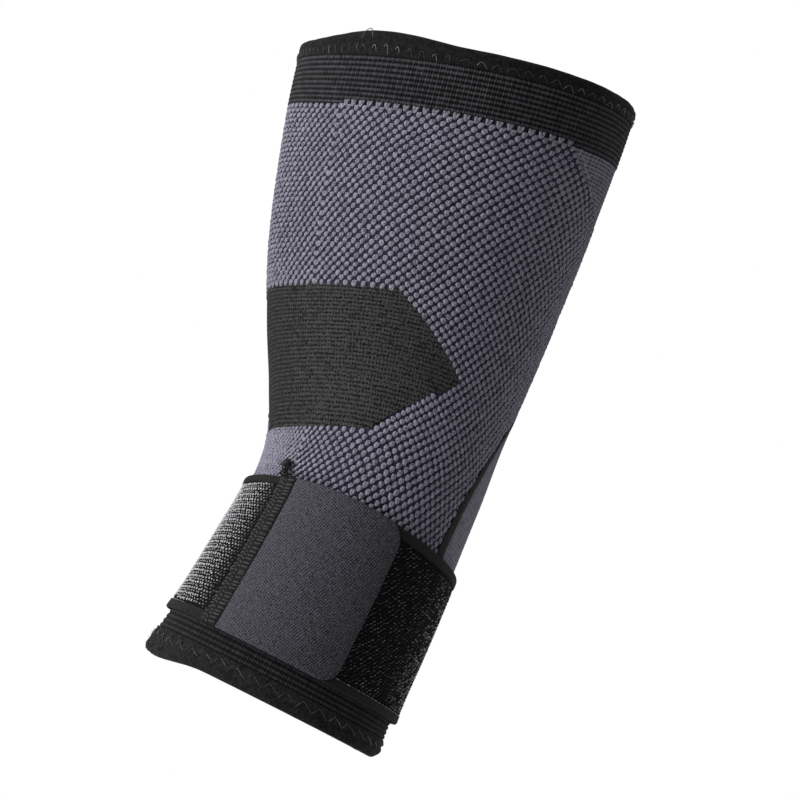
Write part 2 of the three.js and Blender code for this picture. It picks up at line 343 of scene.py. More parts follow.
STITCHES_ROUND = 100
STITCH_TOP, STITCH_LOW = 82.3, -63.0
INNER_SIDE, FAR_SIDE, FOLD, OUTER_SIDE = (math.radians(a) for a in (-95, -110, -55, 50))


def row_step(along):
    """Height of a row of stitches, in mm along the sleeve: they close up below the crook."""
    return np.interp(along, (-45, -5, 17), (1.50, 1.63, 1.75))


def drawn(wale, at, tight):
    """How wales move aside where the knit is stretched along a line down the sleeve."""
    return np.sin(wale - at) * np.exp(tight * (np.cos(wale - at) - 1))


def fanned(wale, along):
    """Angle of a wale round the sleeve: the wales fan out from the crook, stretch at the inner and outer
    side above it and close up in the fold below it."""
    fan = np.interp(along, (-60, -20, 10, 82), (0.13, 0.18, 0.17, 0.0))
    inner = np.interp(along, (-33, 17, 45, 95), (0.0, 0.4, 0.4, 0.0))
    outer = np.interp(along, (30, 70), (0.0, 0.18))
    far = np.interp(along, (-32, 14), (0.0, 0.45))
    fold = np.interp(along, (-33, 10), (0.42, 0.0))

    def moved(w):
        hold = np.where(np.sin(w - FAR_SIDE) > 0, 12, 3)
        return (fan * np.sin(w - START) + inner * drawn(w, INNER_SIDE, 4) + outer * drawn(w, OUTER_SIDE, 1.5)
                - fold * drawn(w, FOLD, 4) - far * np.exp(hold * (np.cos(w - FAR_SIDE) - 1)))
    return wale + moved(wale) - moved(START)


def field(rows, columns):
    """Row and column of each place in a field of rows."""
    return (m.ravel() for m in np.meshgrid(rows, np.arange(columns), indexing="ij"))


heights = [STITCH_TOP]
while heights[-1] > STITCH_LOW:
    heights.append(heights[-1] - row_step(heights[-1]))
heights = np.array(heights)
row, column = field(np.arange(-1, len(heights) - 1), STITCHES_ROUND)
along = np.where(row < 0, STITCH_TOP + row_step(STITCH_TOP), heights[row])
wale = START + 2 * math.pi / STITCHES_ROUND * (column + 0.5 * (row % 2))
angle = fanned(wale, along)
CLOSER_FROM, CLOSER_FADE = math.radians(-35), 0.3
closer = 1 - 0.22 * ramp(turned(angle, 0), CLOSER_FROM, CLOSER_FROM - CLOSER_FADE) * (along < PATCH_LOW)
along = np.where(along < PATCH_LOW, PATCH_LOW + (along - PATCH_LOW) * closer, along)

# No stitch stands where the patch, the panel or the gusset lies, and the row before the first one
# begins after the start of the round
from_patch, from_panel = np.abs(turned(angle, PATCH_CENTRE)), np.abs(turned(angle, PANEL_CENTRE))
over_edge = np.where(along < -10, -0.1, 0.5)
patch_line = patch_half(np.clip(along, PATCH_LOW, PATCH_HIGH)) - angle_of(over_edge, along)
patch_line += np.where(turned(angle, PATCH_CENTRE) < 0, patch_wrap(along), -PATCH_IN * patch_low(along))
PATCH_CLEAR, PANEL_CLEAR, GUSSET_OVERLAP, FORK_CLEAR = 0.9, 2.4, 0.06, 0.08
in_patch = (along < PATCH_HIGH + PATCH_CLEAR) & (along > PATCH_LOW - PATCH_CLEAR) & (from_patch < patch_line)
in_panel = ((along < STRAP_HIGH + PANEL_ARCH_HEIGHT + 2)
            & (from_panel < panel_half(along) + angle_of(PANEL_CLEAR, along)))
past_gusset = from_panel - gusset_half(along)
after_start = (turned(wale, START) > 0.01) & (turned(wale, START) < math.pi * 0.9)
forked = (row < 0) & after_start & (past_gusset > FORK_CLEAR)
kept = ~in_patch & ~in_panel & (past_gusset > -GUSSET_OVERLAP) & ((row >= 0) | forked)
over_patch = (along > PATCH_HIGH + PATCH_CLEAR) & (along < PATCH_HIGH + 2.6) & (from_patch < patch_line)
at_gusset = np.where(along > 30, ramp(past_gusset, 0, 0.2), 1)
along = along + patch_rise(angle, along)
row, column, along, wale, angle, closer, over_patch, at_gusset, after_start = (
    a[kept] for a in (row, column, along, wale, angle, closer, over_patch, at_gusset, after_start))

# Half width and half height of each stitch, and how it lifts, leans, skews and moves aside of its wale
chance = np.random.default_rng(7)
count = len(row)
starting = (column == 0) & (row % 2 == 0)
beside = (row % 2 == 1) & ((column == 0) | (column == STITCHES_ROUND - 1))
split = row < 0
under_split = (row == 0) & after_start
inside = ramp(turned(angle, 0), START, START - 0.4)
PACKED_FROM, PACKED_FADE = math.radians(-25), 0.4
packed = ramp(turned(angle, 0), PACKED_FROM, PACKED_FROM - PACKED_FADE)
packed = packed * ramp(along, PATCH_LOW, PATCH_LOW - 3)
STITCH_HALF_WIDE, STITCH_HALF_HIGH = 0.33, 0.76  # shares of the wales' pitch and of the row's step
STITCH_LEAN, STITCH_SKEW, LEAN_SPREAD = (math.radians(a) for a in (6, 3, 4))
half_wide = (STITCH_HALF_WIDE + 0.05 * inside + 0.05 * packed ** 2) * (0.75 + 0.25 * at_gusset)
half_wide *= np.where(starting, 1.45, 1.0) * np.where(beside, 0.95, 1.0)
crowded = 0.16 * packed ** 2 - 0.3 * packed * (1 - packed) - 0.13 * inside * ramp(along, 22, 34)
half_high = row_step(along) * closer * (STITCH_HALF_HIGH + crowded) * (0.8 + 0.2 * at_gusset)
half_high *= np.where(starting, 0.94, 1.0) * np.where(over_patch, 1.12 + 0.12 * inside, 1.0)
half_high *= np.where(under_split, 1.05, 1.0)
lift = sum(np.where(which, mm, 0.0)
           for which, mm in ((over_patch, -0.25), (split, -0.15), (under_split, 0.12), (starting, 0.3)))
upright = 1 - inside * ramp(along, 40, 20) * (along > PATCH_HIGH)
lean = np.where(starting, 0, STITCH_LEAN * (1 + inside)) * upright + chance.normal(0, LEAN_SPREAD, count)
skew = np.where(starting | split, 0, STITCH_SKEW * (1 - inside))
aside = 0.02 * chance.normal(0, 1, count) + np.where(beside, np.where(column == 0, 0.05, -0.05), 0)

# The first row after the start is split at its top, like small forks: each has two prongs and a body
PRONG_ASIDE, PRONG_LEAN, PRONG_UP, BODY_DOWN = 0.16, math.radians(10), 0.35, 0.60
half_wide[split] *= 0.55
half_high[split] *= 0.8
aside[split] -= PRONG_ASIDE
lean[split] -= PRONG_LEAN
lift[split] += PRONG_UP
prongs = np.flatnonzero(split)
pick = np.concatenate([np.arange(count), prongs, prongs])
along, wale, inside, packed, half_wide, half_high, lift, lean, skew, aside = (
    a[pick] for a in (along, wale, inside, packed, half_wide, half_high, lift, lean, skew, aside))
right, body = slice(count, count + len(prongs)), slice(count + len(prongs), None)
aside[right] += 2 * PRONG_ASIDE
lean[right] += 2 * PRONG_LEAN
aside[body] += PRONG_ASIDE
lean[body] += PRONG_LEAN
lift[body] -= BODY_DOWN
half_wide[body] *= 1.7
half_high[body] *= 1.1
count = len(along)


def unit(ways):
    """Directions, each made 1 long."""
    return ways / np.linalg.norm(ways, axis=-1, keepdims=True)


def wale_frame(along, wale, out):
    """Place of a stitch and its directions: round the sleeve, up its wale and out, with the wales' pitch
    and how long a mm along the sleeve is there."""
    step = 0.01
    here = on_sleeve(along, fanned(wale, along), out)
    round_way = on_sleeve(along, fanned(wale + step, along), out) - here
    wale_way = on_sleeve(along + step, fanned(wale, along + step), out) - here
    pitch = np.linalg.norm(round_way, axis=-1) / step * 2 * math.pi / STITCHES_ROUND
    length = np.linalg.norm(wale_way, axis=-1) / step
    round_way, wale_way = unit(round_way), unit(wale_way)
    return here, round_way, wale_way, unit(np.cross(round_way, wale_way)), pitch, length


def many(name, corners, faces):
    """One mesh of many like shapes: the corners of each of them, and the faces of the first."""
    count, each = corners.shape[:2]
    mesh = bpy.data.meshes.new(name)
    mesh.from_pydata(corners.reshape(-1, 3).tolist(), [],
                     [[v + k * each for v in face] for k in range(count) for face in faces])
    mesh.shade_smooth()
    piece = bpy.data.objects.new(name, mesh)
    bpy.context.collection.objects.link(piece)
    return piece


def copies(name, model, places, across, upward, outward):
    """One mesh of many copies of a small model: for each a place and three directions with their lengths."""
    points = np.array([v.co for v in model.data.vertices])
    corners = (places[:, None] + points[None, :, 0:1] * across[:, None]
               + points[None, :, 1:2] * upward[:, None] + points[None, :, 2:3] * outward[:, None])
    piece = many(name, corners, [list(p.vertices) for p in model.data.polygons])
    mark(piece, "cloth", np.tile(points, (len(places), 1)))
    return piece


def tones(piece, values):
    """One tone for each stitch, loop or thread of a piece."""
    mark(piece, "tone", np.repeat(values, len(piece.data.vertices) // len(values)))


bpy.ops.object.select_all(action="DESELECT")
bpy.ops.mesh.primitive_uv_sphere_add(segments=8, ring_count=6, radius=1)
stitch = bpy.context.object
bpy.ops.object.mode_set(mode="EDIT")
bpy.ops.mesh.select_all(action="SELECT")
bpy.ops.mesh.bisect(plane_co=(0, 0, -0.01), plane_no=(0, 0, 1), clear_inner=True)
bpy.ops.object.mode_set(mode="OBJECT")
for vertex in stitch.data.vertices:
    x, y, z = vertex.co
    flat = max(math.hypot(x, y), 1e-6)
    x, y, z = x * flat ** -0.25 * (1 + 0.16 * y), y * flat ** -0.25, max(0, z) ** 0.7
    if abs(x) < 0.1:
        y, z = y * (0.80 if y > 0 else 1.10), z * 0.84
    vertex.co = (x, y, z)

STITCH_RISE, STITCH_TIP, STITCH_FOOT = 0.80, 0.15, -0.8
place, round_way, wale_way, outward, pitch, length = wale_frame(along, wale, STITCH_FOOT)
widest = MM * (1.9 + 1.5 * ramp(turned(fanned(wale, along), 0), -1.75, -1.5))
half_wide = np.minimum(half_wide * pitch, widest) * (1 + chance.normal(0, 0.04, count))
half_high = half_high * length * (1 + chance.normal(0, 0.04, count))
height = STITCH_RISE * MM * (1 + chance.normal(0, 0.07, count))
place = place + round_way * (aside * pitch)[:, None] + wale_way * (lift * MM)[:, None]
long_way = np.cos(lean)[:, None] * wale_way + np.sin(lean)[:, None] * round_way
wide_way = np.cos(skew)[:, None] * round_way + np.sin(skew)[:, None] * wale_way
long_way = long_way * half_high[:, None] - outward * STITCH_TIP * MM
STITCH_GREY, STITCH_DARK = (0.151, 0.147, 0.183, 1), (0.062, 0.060, 0.080, 1)
STITCH_SHADE = (0.036, 0.034, 0.054, 1)
grey_stitches, shader, start = finish("grey_stitches", 0.95, 0.04, 0.08)
tone, fibre = start.kept("tone"), start.noise(1700, 3)
# Painted shade: a dark line down the middle of each stitch, in the crease between its two strands
painted_crease_shade = (1 - abs(start.cloth(0)) * 4).clamp() * 0.4
yarn = ((fibre - 0.5) * 5.2 + tone + painted_crease_shade + 0.05).clamp().blend(STITCH_GREY, STITCH_DARK)
# Painted shade: each stitch goes darker towards its foot, where it meets the knit, towards STITCH_SHADE
painted_foot_shade = (1 - start.cloth(2) * 2.3).clamp()
lay(shader, painted_foot_shade.blend(yarn, STITCH_SHADE), fibre, 0.0006)
STITCH_SPLIT = 30.0
# Painted light and shade: stitches on the inner side above the patch are painted darker, and the close-packed
# stitches below it, which face the key light, are painted lighter; the rest of each stitch's tone is random
shade = 0.16 * inside * ramp(along, 65, 35) * (along > PATCH_HIGH) - 0.25 * packed
for name, chosen in (("stitches_upper", along > STITCH_SPLIT), ("stitches_lower", along <= STITCH_SPLIT)):
    piece = copies(name, stitch, place[chosen], wide_way[chosen] * half_wide[chosen, None], long_way[chosen],
                   outward[chosen] * height[chosen, None])
    tones(piece, chance.uniform(0, 0.4, chosen.sum()) + shade[chosen])
    dress(piece, grey_stitches)
bpy.data.objects.remove(stitch)

# Crook patch: a six-sided zone of fine black knit over the crook, knitted into the tube with its
# courses level, so that it folds softly where the sleeve bends.
BACK_ROWS = 6


def plate(name, columns, rows, edges, front, back, relief=plain, rise=plain):
    """A plate of cloth: edges(v) gives height, left and right angle for v from 0 to 1."""
    loop = np.concatenate([np.linspace(0, 1, rows + 1), np.linspace(1, 0, BACK_ROWS + 1)])
    piece, u, v = grid(name, columns, len(loop))
    step = np.rint(v * len(loop)).astype(int) % len(loop)
    along, left, right = edges(loop[step])
    angle = left + (right - left) * u
    on_face = step <= rows
    depth = np.where(on_face, relief(angle, along), 0)
    settle(piece, along + rise(angle, along), angle, np.where(on_face, front - depth, back),
           angle * form_at(along)[:, 0].mean(), depth)
    return piece


def courses(low, pitch, depth):
    """Relief of level courses: round crests, narrow grooves."""
    def relief(angle, along):
        return depth * (0.5 + 0.5 * np.cos(2 * math.pi * (along - low) / pitch)) ** 1.5
    return relief


PATCH_COURSES, PATCH_DEPTH, PATCH_FACE, ZONE_BACK, PATCH_UNDER = 35, 0.18, -0.3, -0.74, 1.4
patch_course = (PATCH_HIGH - PATCH_LOW + 2 * PATCH_UNDER) / PATCH_COURSES


def patch_edges(v):
    """The patch runs on a little way under the stitches all round."""
    along = PATCH_LOW - PATCH_UNDER + patch_course * PATCH_COURSES * v
    half = patch_half(np.clip(along, PATCH_LOW, PATCH_HIGH)) + angle_of(0.7, along)
    return along, PATCH_CENTRE - half - patch_wrap(along), PATCH_CENTRE + half - PATCH_IN * patch_low(along)


crook_patch = plate("fine_knit_patch", 120, PATCH_COURSES * 6, patch_edges, PATCH_FACE, ZONE_BACK,
                    courses(PATCH_LOW - PATCH_UNDER, patch_course, PATCH_DEPTH), patch_rise)
fine_black_knit, shader, start = finish("fine_black_knit", 0.95, 0.02, 0.1)
PATCH_BLACK, PATCH_PIT = (0.0285, 0.0285, 0.0282, 1), (0.0022, 0.0022, 0.0022, 1)
wander, grain = start.noise(450, 3), start.noise(1500, 2)
# Painted shade: the grooves between the courses and the pits between the wales are painted darker, and so is
# the part towards the inner side, where the key light falls most
groove = 1 - (start.cloth(1) - PATCH_LOW + PATCH_UNDER + wander * 0.8 - 0.4).wave(patch_course)
pits = (start.cloth(0) + wander * 1.8).wave(1.16) * groove
painted_side_shade = ((0 - start.cloth(0) - 25) / 45).clamp()
specks = (grain - 0.5) * 3.8 + (wander - 0.5)
low = (groove ** 2 * 0.5 + pits * 0.5 + specks + painted_side_shade * 0.8 + 0.06).clamp()
lay(shader, low.blend(PATCH_BLACK, PATCH_PIT), grain * 0.5 - pits, 0.0003)
dress(crook_patch, fine_black_knit, "crook_patch")

# Elbow panel and its dark edging, with the plain gusset below the upper cuff: smooth grey knit on the
# far side, knitted flat where the raised stitches stop. The edging is a line of black knit.


def panel_edges(v):
    """The panel stands straight under the strap and closes in an arch above it."""
    turn = PANEL_ARCH_STOP * np.maximum(0, (v - PANEL_STRAIGHT) / (1 - PANEL_STRAIGHT))
    along = np.where(v < PANEL_STRAIGHT, PANEL_LOW + (STRAP_HIGH - PANEL_LOW) * v / PANEL_STRAIGHT,
                     STRAP_HIGH + PANEL_ARCH_HEIGHT * np.sin(turn))
    half = PANEL_HALF * np.cos(turn)
    return along, PANEL_CENTRE - half, PANEL_CENTRE + half


def gusset_edges(v):
    """The gusset reaches a little way under the stitches on both sides."""
    low = GUSSET_TOP - GUSSET_DROP
    along = low + (GROUND_HIGH - low) * v
    half = gusset_half(along) + 0.03
    return along, PANEL_CENTRE - half, PANEL_CENTRE + half


PANEL_COURSE, PANEL_DEPTH, PANEL_FACE, PANEL_BACK = 1.0, 0.2, -0.05, -0.7
GUSSET_COURSE, GUSSET_DEPTH, GUSSET_FACE = 1.3, 0.3, -0.3
elbow_panel = plate("smooth_elbow_panel", 110, 260, panel_edges, PANEL_FACE, PANEL_BACK,
                    courses(PANEL_LOW, PANEL_COURSE, PANEL_DEPTH))
back_gusset = plate("back_gusset", 110, 200, gusset_edges, GUSSET_FACE, ZONE_BACK,
                    courses(0, GUSSET_COURSE, GUSSET_DEPTH))
PANEL_GREY, PANEL_PIT, PANEL_WALE = (0.118, 0.115, 0.143, 1), (0.020, 0.019, 0.028, 1), 1.3
for piece, deep, wale_marks, slot, node in ((elbow_panel, PANEL_DEPTH, 0.3, "panel_knit", "elbow_panel"),
                                            (back_gusset, GUSSET_DEPTH, 1.0, "bead_knit", None)):
    smooth_knit = knit_finish(piece.name, PANEL_GREY, PANEL_PIT, PANEL_WALE, deep, wale_marks, 0.9, 0.5)
    dress(piece, smooth_knit, node)

EDGING_STEPS, EDGING_BESIDE, EDGING_BROADER = 150, 0.25, 2.2
EDGING_SECTION = np.array([(0.0, -0.12), (0.12, 0.05), (0.88, 0.05), (1.0, -0.12), (1.0, -0.7), (0.0, -0.7)])
panel_edging, u, v = grid("panel_edging", EDGING_STEPS, len(EDGING_SECTION))
corner = np.rint(v * len(EDGING_SECTION)).astype(int) % len(EDGING_SECTION)
turn = (2 * u - 1) * (PANEL_ARCH_STOP + math.radians(40))
low_part = np.maximum(0, np.abs(turn) - math.radians(90))
turn = np.clip(turn, -math.pi / 2, math.pi / 2)
line_along = STRAP_HIGH + PANEL_ARCH_HEIGHT * np.cos(turn) - low_part * 30
line_angle = PANEL_CENTRE + PANEL_HALF * np.sin(turn)
broad = PANEL_BORDER + EDGING_BROADER * ramp(line_along, -25, -53)
side, out = EDGING_SECTION[corner].T
away = EDGING_BESIDE + side * broad
# Its sides, below its face, are given a depth so that the finish paints them darker: painted shade
settle(panel_edging, line_along + away * np.cos(turn),
       line_angle + angle_of(away, line_along) * np.sin(turn), out, u * 200, np.where(out < -0.1, 0.2, 0.0))
EDGING_BLACK, EDGING_PIT = (0.0120, 0.0120, 0.0120, 1), (0.0018, 0.0018, 0.0020, 1)
black_edging = knit_finish("black_edging", EDGING_BLACK, EDGING_PIT, 1.2, 0.5, 0.5, 1.5)
dress(panel_edging, black_edging, "panel_border")

# Cuffs: black rib knit at both ends of the tube, knitted on to it, with rubber thread laid into every
# rib so that they grip.
UPPER_CUFF_LOW, UPPER_HEM_LOW, TOP_EDGE = 83.15, 98.6, 104.0
LOWER_CUFF_HIGH, LOWER_HEM_HIGH, BOTTOM_EDGE = -96.15, -110.0, -117.3
CUFF_GAP, CUFF_LINING = 0.05, -2.0


def cuff(name, low, high, ribs, relief):
    """A ring of ribs with a plain lining."""
    return ring(name, 240, up(low, high, ribs * 8 + 1), up(high, low, 6, CUFF_LINING), relief)


UPPER_RIBS, UPPER_DEPTH, LOWER_RIBS, LOWER_DEPTH = 10, 0.5, 8, 0.34
FORK_RECESS, FORK_RECESS_HIGH = 0.4, 1.2
upper_rib = (UPPER_HEM_LOW - CUFF_GAP - UPPER_CUFF_LOW) / UPPER_RIBS
lower_rib = (LOWER_CUFF_HIGH - LOWER_HEM_HIGH - CUFF_GAP) / LOWER_RIBS


def upper_relief(angle, along):
    """Ribs, and room for one more row of stitches after the start of the round."""
    after = (turned(angle, START) > 0) & (turned(angle, START) < math.pi / 2)
    after &= np.abs(turned(angle, PANEL_CENTRE)) > GUSSET_TOP_HALF + GUSSET_OVERLAP
    ribs = courses(UPPER_CUFF_LOW, upper_rib, UPPER_DEPTH)(angle, along)
    return np.where(after & (along < UPPER_CUFF_LOW + FORK_RECESS_HIGH), FORK_RECESS, ribs)


upper_cuff = cuff("upper_rib_cuff", UPPER_CUFF_LOW, UPPER_HEM_LOW - CUFF_GAP, UPPER_RIBS, upper_relief)
lower_cuff = cuff("lower_rib_cuff", LOWER_HEM_HIGH + CUFF_GAP, LOWER_CUFF_HIGH, LOWER_RIBS,
                  courses(LOWER_HEM_HIGH + CUFF_GAP, lower_rib, LOWER_DEPTH))
RIB_UPPER, RIB_LOWER = (0.0318, 0.0308, 0.0352, 1), (0.0165, 0.0160, 0.0182, 1)
RIB_PIT, RIB_WALE = (0.0016, 0.0016, 0.0018, 1), 0.92
for piece, node, deep, black, cut in ((upper_cuff, "upper_cuff", UPPER_DEPTH, RIB_UPPER, 1.2),
                                      (lower_cuff, "lower_cuff", LOWER_DEPTH, RIB_LOWER, 1.7)):
    rib_knit = knit_finish("black_rib_" + node, black, RIB_PIT, RIB_WALE, deep, 1.3, 1.1, cut)
    dress(piece, rib_knit, node)

# Hems: the cuff's edge turned over into a soft roll and sewn down with a zigzag of grey thread, of
# which mostly the tops of the stitches show. A crease runs beside the sewing.
HEM_INSIDE, HEM_PROUD = -2.4, 0.4
UPPER_CREASE, LOWER_CREASE = UPPER_HEM_LOW + 2.6, LOWER_HEM_HIGH - 3.9


def turned_edge(seam, edge):
    """Rows of a rolled edge: level with the cuff at its seam, fuller towards the edge and round over it."""
    bend = (HEM_PROUD - HEM_INSIDE) / 2
    middle = edge - math.copysign(bend, edge - seam)
    face = [(HEM_PROUD * (1 - (1 - s) ** 3), seam + (middle - seam) * s) for s in np.linspace(0, 1, 15)]
    face += [(HEM_INSIDE + bend + bend * math.cos(t), middle + (edge - middle) * math.sin(t))
             for t in np.linspace(0, math.pi, 11)[1:]]
    lining = [(HEM_INSIDE, middle + (seam - middle) * s) for s in (0.33, 0.67, 1.0)]
    return (face, lining) if edge > seam else (face[::-1], lining[::-1])


def waves(seam, edge, rows):
    """Rise of a hem's free edge, fading out towards its seam: angle, half width and rise of each wave."""
    def rise(angle, along):
        total = 0
        for centre, reach, height in rows:
            near = np.minimum(1, np.abs(turned(angle, math.radians(centre))) / math.radians(reach))
            total = total + height * (0.5 + 0.5 * np.cos(math.pi * near))
        return total * ramp(along, seam, edge)
    return rise


def soft(angle, along):
    """Slight unevenness of a rolled edge, with a crease beside its sewing."""
    crease = np.exp(-((along - UPPER_CREASE) / 0.55) ** 2) + np.exp(-((along - LOWER_CREASE) / 0.6) ** 2)
    return 0.12 * np.sin(17 * angle + along) + 0.08 * np.sin(41 * angle - 2 * along) + 0.1 + 0.38 * crease


def wrinkled(angle, along):
    """Unevenness of the lower roll, which wrinkles where it turns over on the inner side."""
    near = np.clip(1 - np.abs(turned(angle, math.radians(-72))) / math.radians(30), 0, 1)
    folds = np.sin(38 * angle + 1.3 * along) + 0.6 * np.sin(71 * angle - 2.1 * along)
    return soft(angle, along) + near * (0.3 * folds - 0.35)


upper_wave = waves(UPPER_HEM_LOW, TOP_EDGE, [(-33, 34, 2.4)])
lower_wave = waves(LOWER_HEM_HIGH, BOTTOM_EDGE, [(-62, 34, -2.0), (98, 26, 3.4), (180, 80, 3.0)])
upper_hem = ring("upper_rolled_hem", 240, *turned_edge(UPPER_HEM_LOW, TOP_EDGE), soft, upper_wave)
lower_hem = ring("lower_rolled_hem", 240, *turned_edge(LOWER_HEM_HIGH, BOTTOM_EDGE), wrinkled, lower_wave)
HEM_UPPER, HEM_LOWER = (0.0082, 0.0079, 0.0084, 1), (0.0118, 0.0114, 0.0120, 1)
HEM_DARK = (0.0018, 0.0017, 0.0018, 1)
for piece, node, black in ((upper_hem, "upper_hem", HEM_UPPER), (lower_hem, "lower_hem", HEM_LOWER)):
    material, shader, start = finish("black_" + node, 0.95, 0.02, 0.08)
    mottle, nap_and_painted_shade = start.noise(520, 3), start.noise(1400, 2)
    worn = ((mottle - 0.5) * 1.6 + (nap_and_painted_shade - 0.5) * 2.4 + 0.45).clamp()
    lay(shader, worn.blend(black, HEM_DARK), nap_and_painted_shade + mottle, 0.0004)
    dress(piece, material, node)


def threads(name, paths, outward, radius, sides=5):
    """One mesh of many threads: for each a row of points and the way out of the cloth it lies on."""
    count, points = paths.shape[:2]
    way = unit(np.gradient(paths, axis=1))
    across = unit(np.cross(way, outward))
    lift = np.cross(across, way)
    turn = 2 * math.pi * np.arange(sides) / sides
    rings = (paths[:, :, None] + radius * MM * (np.cos(turn)[:, None] * across[:, :, None]
                                                + np.sin(turn)[:, None] * lift[:, :, None]))
    one = [[p * sides + k, p * sides + (k + 1) % sides,
            (p + 1) * sides + (k + 1) % sides, (p + 1) * sides + k]
           for p in range(points - 1) for k in range(sides)]
    one += [list(range(sides))[::-1], [(points - 1) * sides + k for k in range(sides)]]
    piece = many(name, rings.reshape(count, points * sides, 3), one)
    bpy.ops.object.select_all(action="DESELECT")
    bpy.context.view_layer.objects.active = piece
    bpy.ops.object.mode_set(mode="EDIT")
    bpy.ops.mesh.select_all(action="SELECT")
    bpy.ops.mesh.normals_make_consistent(inside=False)
    bpy.ops.object.mode_set(mode="OBJECT")
    return piece


def laid(along, angle, out):
    """Points of threads on the sleeve, and the way out of the cloth at each."""
    here = on_sleeve(along, angle, out)
    return here, on_sleeve(along, angle, np.asarray(out) + 1) - here


# Each thread's points in mm across, along and out of the hem
HOOK = np.array([(-0.9, -0.3, -0.3), (-0.7, 0.2, 0.2), (-0.2, 0.6, 0.3),
                 (0.3, 0.4, 0.3), (0.7, -0.3, 0.2), (0.9, -1.1, -0.3)])
FORK = np.array([(-1.8, -0.8, -0.3), (-1.2, -0.1, 0.2), (-0.5, 0.6, 0.3),
                 (0.3, 0.7, 0.3), (1.4, -0.1, 0.2), (2.5, -1.1, -0.3)])
STROKE = np.array([(-0.3, 1.2, -0.25), (-0.3, 0.8, 0.2), (-0.15, 0.3, 0.3),
                   (0.0, -0.2, 0.3), (0.15, -0.7, 0.2), (0.2, -1.1, -0.3)])
STEEP = np.array([(4.8, -1.1, -0.2), (5.0, -0.8, 0.2), (5.4, -0.2, 0.3),
                  (5.8, 0.4, 0.3), (6.2, 0.9, 0.2), (6.4, 1.1, -0.2)])
SLOPE = np.array([(0.1, 1.1, -0.2), (1.0, 0.8, 0.2), (2.0, 0.25, 0.3),
                  (3.0, -0.3, 0.3), (4.1, -0.85, 0.2), (4.8, -1.1, -0.2)])
chance = np.random.default_rng(3)


def sewn(shape, spots, height, out, wave):
    """Threads of one shape, each a little different, at angles round a hem."""
    shape = shape * (1 + chance.normal(0, 0.08, (len(spots), 1, 3)))
    along = height + shape[..., 1] + chance.normal(0, 0.15, (len(spots), 1))
    angle = spots[:, None] + angle_of(shape[..., 0], along)
    return laid(along + wave(angle, along), angle, out + shape[..., 2])


THREAD_DARK, THREAD_LIGHT, THREAD_RADIUS = (0.006, 0.006, 0.006, 1), (0.20, 0.20, 0.195, 1), 0.11
hem_thread, shader, start = finish("hem_thread", 0.5, 0.1, 0.4)
fade = (start.kept("tone") * 1.2 + start.noise(700, 2) - 0.75).clamp()
lay(shader, fade.blend(THREAD_DARK, THREAD_LIGHT))
FORKS_END, HOOKS_END, ZIGZAG_END = (math.radians(a) for a in (-2, -38, -58))
UPPER_RADIUS, LOWER_RADIUS = 57, 43
FORK_PITCH, HOOK_PITCH, STROKE_PITCH, ZIGZAG_PITCH = 5.2, 4.3, 3.3, 6.3
forks = np.arange(FORKS_END, math.pi, FORK_PITCH / UPPER_RADIUS)
hooks = np.arange(HOOKS_END, FORKS_END - 0.05, HOOK_PITCH / UPPER_RADIUS)
strokes = np.arange(-math.pi, HOOKS_END - 0.03, STROKE_PITCH / UPPER_RADIUS)
zigzag = np.arange(ZIGZAG_END, math.radians(300), ZIGZAG_PITCH / LOWER_RADIUS)
hem_seams = {}
for name, hem, shape, spots, height, out, wave, tone in (
        ("upper_forks", "upper", FORK, forks, UPPER_HEM_LOW + 1.3, 0.1, upper_wave, 0.50),
        ("upper_hooks", "upper", HOOK, hooks, UPPER_HEM_LOW + 1.4, 0.1, upper_wave, 0.50),
        ("upper_strokes", "upper", STROKE, strokes, UPPER_HEM_LOW + 1.3, 0.1, upper_wave, 0.45),
        ("lower_steep", "lower", STEEP, zigzag, LOWER_HEM_HIGH - 2.4, 0.15, lower_wave, 0.36),
        ("lower_slope", "lower", SLOPE, zigzag, LOWER_HEM_HIGH - 2.4, 0.15, lower_wave, 0.36)):
    piece = threads(name, *sewn(shape, spots, height, out, wave), THREAD_RADIUS)
    tones(piece, tone * chance.uniform(0.1, 1, len(spots)))
    dress(piece, hem_thread)
    hem_seams.setdefault(hem, []).append(piece)

# Loose ends: one clear sewing thread stands up from the upper hem in a loop, and short fibres fray
# at the lower one, where it turns over.
END_ANGLE, END_SPAN, END_LOW, END_HIGH, END_RADIUS = math.radians(-39.8), math.radians(4.4), -3.0, 3.6, 0.15
t = np.linspace(0, 1, 14)
end_angle = END_ANGLE + END_SPAN * t
end_along = TOP_EDGE + upper_wave(end_angle, TOP_EDGE) + END_LOW + END_HIGH * np.sin(math.pi * t) ** 0.6
end_out = HEM_PROUD - 0.1 - 0.9 * np.sin(math.pi * t) ** 2
paths, outward = laid(end_along[None], end_angle[None], end_out[None])
clear_end = threads("clear_thread_end", paths, outward, END_RADIUS)
tones(clear_end, np.array([0.26]))
FRAYS, FRAY_RADIUS, ASKEW = 140, 0.05, (0.3, 0.2, 0.9)
fray_angle = np.radians(chance.uniform(-95, -40, FRAYS))
fray_along = chance.uniform(BOTTOM_EDGE + 0.2, LOWER_HEM_HIGH - 1, FRAYS)
fray_along = fray_along + lower_wave(fray_angle, fray_along)
root, outward = laid(fray_along, fray_angle, HEM_PROUD - 0.1)
way = chance.normal(0, 1, (FRAYS, 3)) * 0.5 + outward / MM * 0.9
t = np.linspace(0, 1, 4)[None, :, None]
curl = chance.normal(0, 0.5, (FRAYS, 1, 3))
paths = root[:, None] + MM * chance.uniform(0.25, 0.6, (FRAYS, 1, 1)) * (way[:, None] * t + curl * t ** 2)
hem_frays = threads("hem_frays", paths, np.repeat(np.cross(way, ASKEW)[:, None], 4, 1), FRAY_RADIUS, 3)
tones(hem_frays, chance.uniform(0, 0.3, FRAYS))
for piece, hem in ((clear_end, "upper"), (hem_frays, "lower")):
    dress(piece, hem_thread)
    hem_seams[hem].append(piece)

